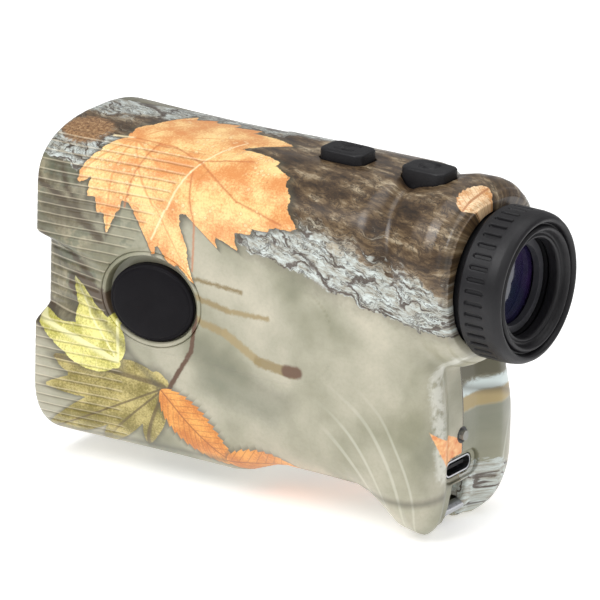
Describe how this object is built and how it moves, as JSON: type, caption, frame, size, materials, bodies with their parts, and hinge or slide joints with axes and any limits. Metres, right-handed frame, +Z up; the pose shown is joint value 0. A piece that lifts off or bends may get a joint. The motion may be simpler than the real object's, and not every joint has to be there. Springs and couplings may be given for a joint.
{
  "type": "laser rangefinder",
  "caption": "Handheld monocular laser rangefinder with a split camouflage housing, turning diopter eyecup, sprung top buttons, recessed side discs and an open lanyard notch.",
  "frame": {"origin": "centre of the bounding box on its lowest plane, the bottom of the two rear lobes", "axes": "+Y along the eyepiece axis towards the objective, +X to the user's right, +Z up"},
  "size_m": [0.041, 0.104, 0.073],
  "materials": {
    "camo": "satin printed film over moulded plastic",
    "rubber": "matt",
    "plastic": "matt",
    "grey": "satin",
    "glass": "coated",
    "steel": "satin",
    "aluminium": "machined",
    "brass": "satin",
    "board": "solder mask",
    "battery": "shrink film",
    "led": "translucent"
  },
  "bodies": {
    "housing": {"shell_left": "camo", "shell_right": "camo", "side_disc_left": "plastic", "side_disc_right": "plastic", "front_plate": "plastic", "objective_barrel": "plastic", "objective_retainer": "plastic", "receiver_barrel": "plastic", "receiver_retainer": "plastic", "prism_cage": "plastic", "eyepiece_sleeve": "plastic", "usb_tongue": "plastic", "objective_lens": "glass", "receiver_lens": "glass", "roof_prism": "glass", "erecting_prism": "glass", "reticle_display": "glass", "lanyard_pin": "steel", "detector_screw_upper": "steel", "detector_screw_lower": "steel", "board_screw_upper": "steel", "board_screw_lower": "steel", "mode_switch": "steel", "power_switch": "steel", "usb_receptacle": "steel", "chassis": "aluminium", "laser_diode": "brass", "detector_board": "board", "button_board": "board", "main_board": "board", "usb_board": "board", "battery": "battery", "charge_led": "led"},
    "focus_carrier": {"lens_cell": "plastic", "cell_retainer": "grey", "eye_lens": "glass", "field_lens": "glass"},
    "diopter_ring": {"ring_core": "plastic", "eyecup": "rubber"},
    "mode_key": {"mode_button": "rubber"},
    "power_key": {"power_button": "rubber"}
  },
  "joints": [
    {"name": "focus_slide", "type": "slide", "parent": "housing", "child": "focus_carrier", "axis": [0, 1, 0], "range_m": [-0.0015, 0.0015]},
    {"name": "diopter_turn", "type": "hinge", "parent": "focus_carrier", "child": "diopter_ring", "pos_m": [0, -0.046, 0.0524], "axis": [0, 1, 0], "range_deg": [-120, 120]},
    {"name": "mode_press", "type": "slide", "parent": "housing", "child": "mode_key", "axis": [0, 0, -1], "range_m": [0, 0.0006], "stiffness_N_per_m": 800, "springref_m": -0.0002},
    {"name": "power_press", "type": "slide", "parent": "housing", "child": "power_key", "axis": [0, 0, -1], "range_m": [0, 0.0006], "stiffness_N_per_m": 800, "springref_m": -0.0002}
  ],
  "couplings": [
    {"joint": "diopter_turn", "follows": "focus_slide", "rad_per_m": 1396}
  ]
}
